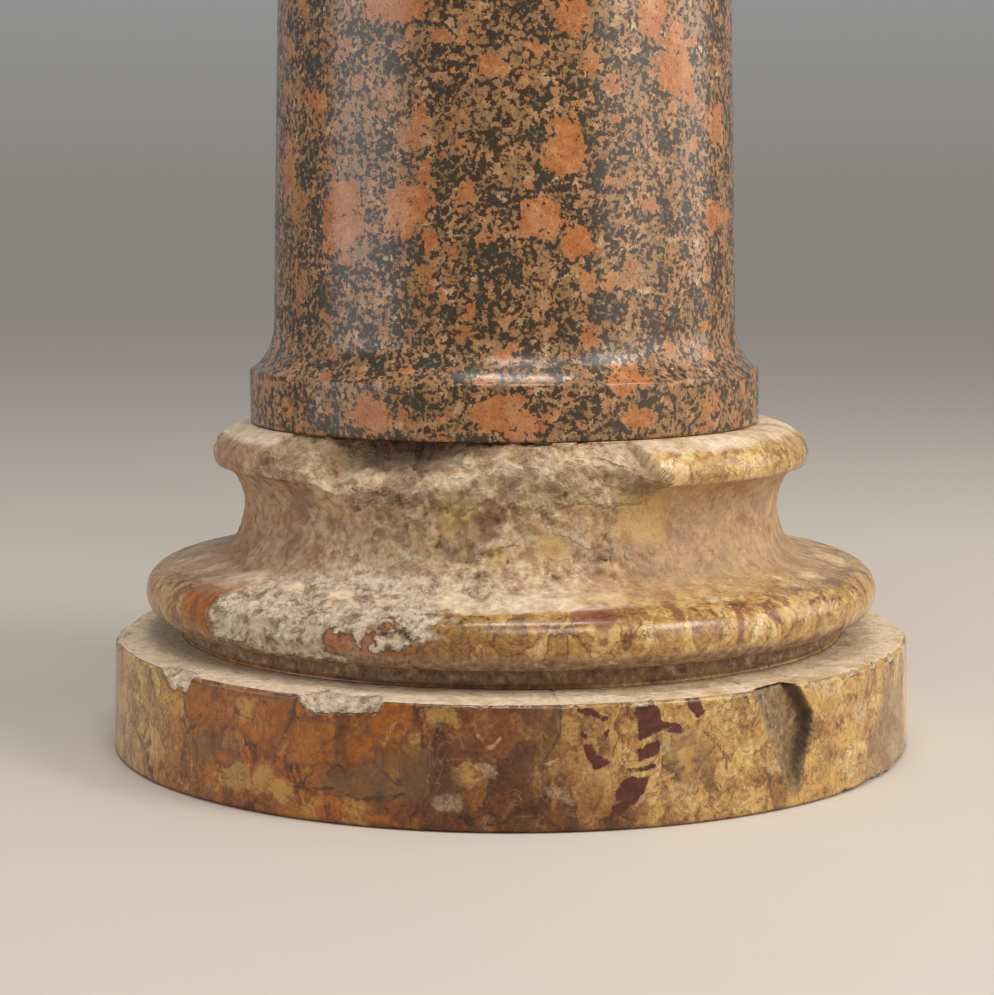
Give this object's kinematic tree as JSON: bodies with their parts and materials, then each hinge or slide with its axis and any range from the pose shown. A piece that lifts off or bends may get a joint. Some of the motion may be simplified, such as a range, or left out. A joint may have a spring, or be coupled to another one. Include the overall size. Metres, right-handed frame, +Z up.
{
  "type": "granite column on a moulded marble base",
  "caption": "Round granite column, tapered and polished, standing on a worn and chipped Attic base of yellow breccia marble, with an astragal at its flat top.",
  "frame": {"origin": "centre of the round underside of the plinth, on the floor", "axes": "+Z up the column, -Y towards the broken side of the base that the picture faces, +X to the right of that view"},
  "size_m": [0.4397, 0.44, 1.2],
  "materials": {
    "breccia_marble": "worn polish on yellow and brown breccia marble, with rough dusty breaks",
    "polished_granite": "polished coarse granite with salmon feldspar, grey-green grains and black flecks"
  },
  "bodies": {
    "root": {"marble_base": "breccia_marble", "granite_shaft": "polished_granite"}
  },
  "joints": []
}
